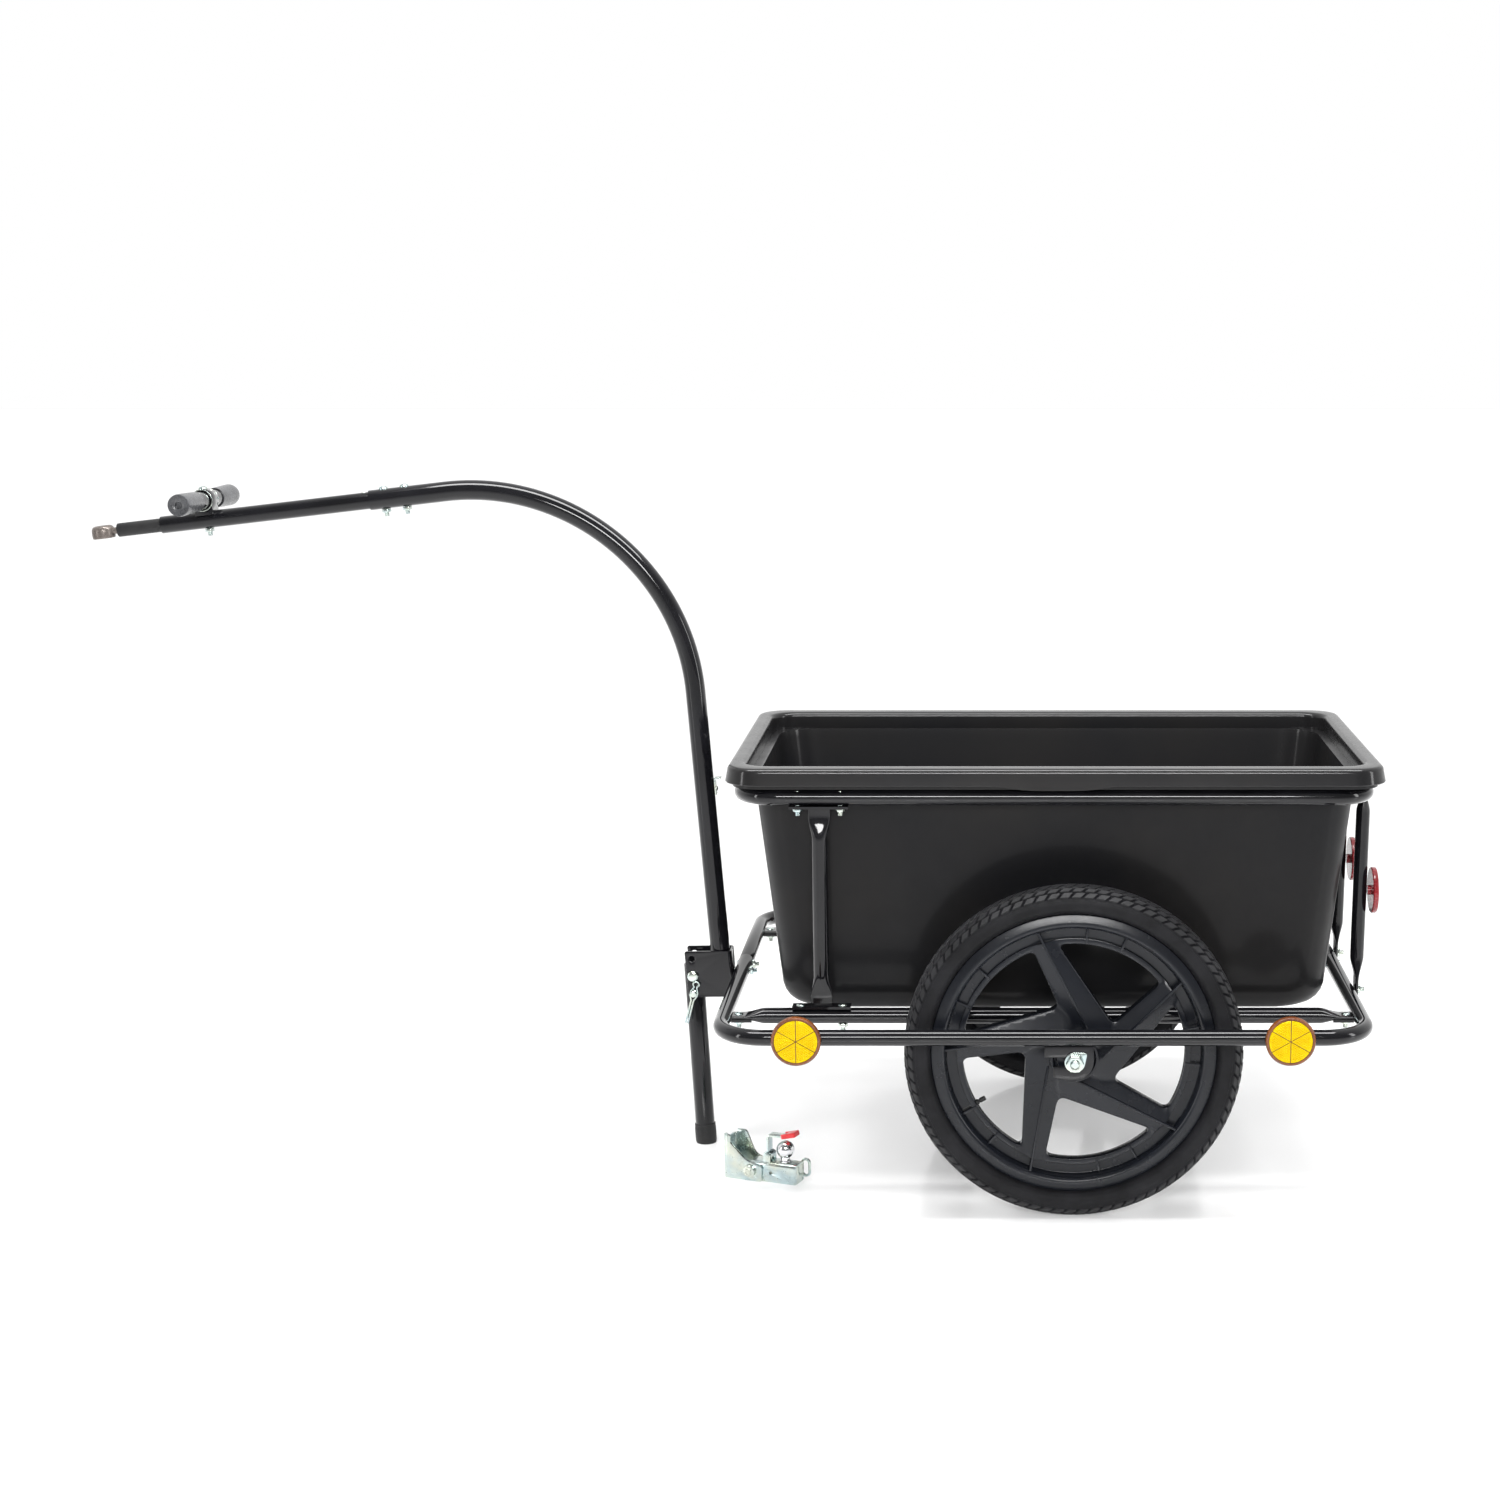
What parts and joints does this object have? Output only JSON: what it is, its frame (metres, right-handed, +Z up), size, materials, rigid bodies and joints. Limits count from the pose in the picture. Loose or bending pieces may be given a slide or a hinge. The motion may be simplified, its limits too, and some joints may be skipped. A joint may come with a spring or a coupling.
{
  "type": "cargo bike trailer",
  "caption": "Bicycle cargo trailer: moulded tub in a tube frame with a bumper ring, plastic spoked wheels, curved drawbar with T handle, fold-up stand leg and loose seat post hitch.",
  "frame": {"origin": "on the floor, under the middle of the whole length and width", "axes": "+Z up, -X is the way the trailer travels and its drawbar points, -Y is its left side"},
  "size_m": [1.5934, 0.6506, 0.8541],
  "materials": {
    "black_paint": "gloss",
    "tub_plastic": "semi-gloss",
    "wheel_plastic": "satin",
    "tyre_rubber": "matte",
    "soft_rubber": "satin",
    "zinc_steel": "zinc plated",
    "chrome_steel": "polished",
    "grip_vinyl": "satin",
    "amber_plastic": "moulded",
    "red_plastic": "moulded"
  },
  "bodies": {
    "frame": {"bumper_left": "black_paint", "bumper_right": "black_paint", "upper_ring_left": "black_paint", "upper_ring_right": "black_paint", "rail_left": "black_paint", "rail_right": "black_paint", "side_upright_left": "black_paint", "side_upright_right": "black_paint", "rear_upright_left": "black_paint", "rear_upright_right": "black_paint", "dropout_outer_left": "black_paint", "dropout_inner_left": "black_paint", "dropout_outer_right": "black_paint", "dropout_inner_right": "black_paint", "drawbar_bracket": "black_paint", "drawbar_rear_tube": "black_paint", "drawbar_front_tube": "black_paint", "coupling_socket": "black_paint", "handle_tube": "black_paint", "hub_sleeve_left": "zinc_steel", "axle_bolt_left": "zinc_steel", "axle_nut_left": "zinc_steel", "tab_washer_left": "zinc_steel", "side_reflector_front_left": "amber_plastic", "side_reflector_rear_left": "amber_plastic", "rear_reflector_left": "red_plastic", "grip_left": "grip_vinyl", "hub_sleeve_right": "zinc_steel", "axle_bolt_right": "zinc_steel", "axle_nut_right": "zinc_steel", "tab_washer_right": "zinc_steel", "side_reflector_front_right": "amber_plastic", "side_reflector_rear_right": "amber_plastic", "rear_reflector_right": "red_plastic", "grip_right": "grip_vinyl", "handle_bolt": "zinc_steel", "joint_bolt_front": "zinc_steel", "joint_bolt_rear": "zinc_steel", "drawbar_bolt": "zinc_steel", "cable_hook": "zinc_steel", "stand_pivot_bolt": "zinc_steel", "lock_pin": "zinc_steel", "lock_clip": "zinc_steel", "handle_clamp": "black_paint", "coupling_sleeve": "soft_rubber"},
    "wheel_left": {"wheel_left": "wheel_plastic", "tyre_left": "tyre_rubber", "inner_tube_left": "soft_rubber"},
    "wheel_right": {"wheel_right": "wheel_plastic", "tyre_right": "tyre_rubber", "inner_tube_right": "soft_rubber"},
    "stand": {"stand_leg": "black_paint", "stand_foot": "soft_rubber"},
    "tub": {"tub": "tub_plastic"},
    "hitch": {"hitch_channel": "zinc_steel", "hitch_jaw": "zinc_steel", "hitch_bolt": "zinc_steel", "hitch_ball": "chrome_steel"},
    "latch": {"hitch_latch": "zinc_steel", "latch_tip": "red_plastic"}
  },
  "joints": [
    {"name": "wheel_left_spin", "type": "hinge", "parent": "frame", "child": "wheel_left", "pos_m": [0.41817, -0.262, 0.2], "axis": [0, 1, 0], "continuous": true},
    {"name": "wheel_right_spin", "type": "hinge", "parent": "frame", "child": "wheel_right", "pos_m": [0.41817, 0.262, 0.2], "axis": [0, 1, 0], "continuous": true},
    {"name": "stand_fold", "type": "hinge", "parent": "frame", "child": "stand", "pos_m": [-0.05946, 0, 0.225], "axis": [0, 1, 0], "range_deg": [0, 180]},
    {"name": "tub_lift", "type": "slide", "parent": "frame", "child": "tub", "axis": [0, 0, 1], "range_m": [0, 0.3]},
    {"name": "hitch_lift", "type": "slide", "parent": "frame", "child": "hitch", "axis": [0, 0, 1], "range_m": [0, 0.12]},
    {"name": "latch_open", "type": "hinge", "parent": "hitch", "child": "latch", "pos_m": [0.04675, -0.14287, 0.0312], "axis": [-0.3584, -0.9336, 0], "range_deg": [0, 60]}
  ]
}
